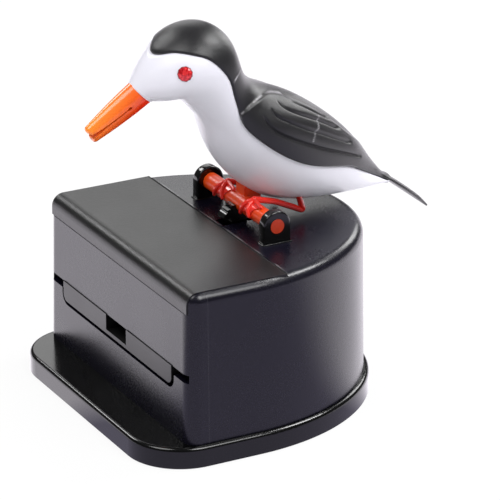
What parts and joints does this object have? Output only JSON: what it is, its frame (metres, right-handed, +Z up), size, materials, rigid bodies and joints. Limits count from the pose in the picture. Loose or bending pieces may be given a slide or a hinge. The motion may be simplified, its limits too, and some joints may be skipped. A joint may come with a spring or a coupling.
{
  "type": "toothpick dispenser",
  "caption": "Tabletop toothpick dispenser: a hinged bird on a D-shaped box bows as a small tray slides one toothpick out to its beak.",
  "frame": {"origin": "middle of the base plate's flat underside", "axes": "+Z up, -Y towards the front with the pick slot and the beak, X across, parallel to the perch"},
  "size_m": [0.077, 0.0936, 0.0923],
  "materials": {
    "plate": "satin",
    "shell": "satin",
    "lid": "satin",
    "gloss_black": "gloss",
    "inner_black": "satin",
    "bird_white": "semi gloss",
    "bird_black": "satin",
    "orange": "gloss",
    "red": "gloss",
    "eye_red": "gloss",
    "steel": "bright"
  },
  "bodies": {
    "base": {"base_plate": "plate", "body_shell": "shell", "bracket_left": "gloss_black", "bracket_right": "gloss_black", "hopper_chute": "inner_black", "tray_rail_left": "inner_black", "tray_rail_right": "inner_black", "tail_guide": "inner_black", "plate_screw_1": "steel", "plate_screw_2": "steel", "plate_screw_3": "steel", "plate_screw_4": "steel", "lever_pin": "steel", "return_spring": "steel"},
    "bird": {"perch_axle": "orange", "drive_sector": "gloss_black", "bird_belly": "bird_white", "bird_back": "bird_black", "tail_blade": "bird_black", "beak": "orange", "eye_left": "eye_red", "eye_right": "eye_red", "leg_left": "red", "leg_right": "red"},
    "lever": {"reversing_lever": "inner_black"},
    "tray": {"pick_tray": "inner_black"},
    "lid": {"lid": "lid"}
  },
  "joints": [
    {"name": "bird_pivot", "type": "hinge", "parent": "base", "child": "bird", "pos_m": [0, 0.0062, 0.046], "axis": [1, 0, 0], "range_deg": [0, 65], "stiffness_Nm_per_rad": 0.006, "springref_deg": -22.92},
    {"name": "lever_pivot", "type": "hinge", "parent": "base", "child": "lever", "pos_m": [0, 0.0062, 0.0323], "axis": [1, 0, 0], "range_deg": [-43.5, 0]},
    {"name": "tray_slide", "type": "slide", "parent": "base", "child": "tray", "axis": [0, -1, 0], "range_m": [0, 0.0076], "deforming": ["return_spring"]},
    {"name": "lid_slide", "type": "slide", "parent": "base", "child": "lid", "axis": [0, -1, 0], "range_m": [0, 0.055]}
  ],
  "couplings": [
    {"joint": "lever_pivot", "follows": "bird_pivot", "ratio": -0.66667},
    {"joint": "tray_slide", "follows": "bird_pivot", "m_per_rad": 0.0066391}
  ]
}
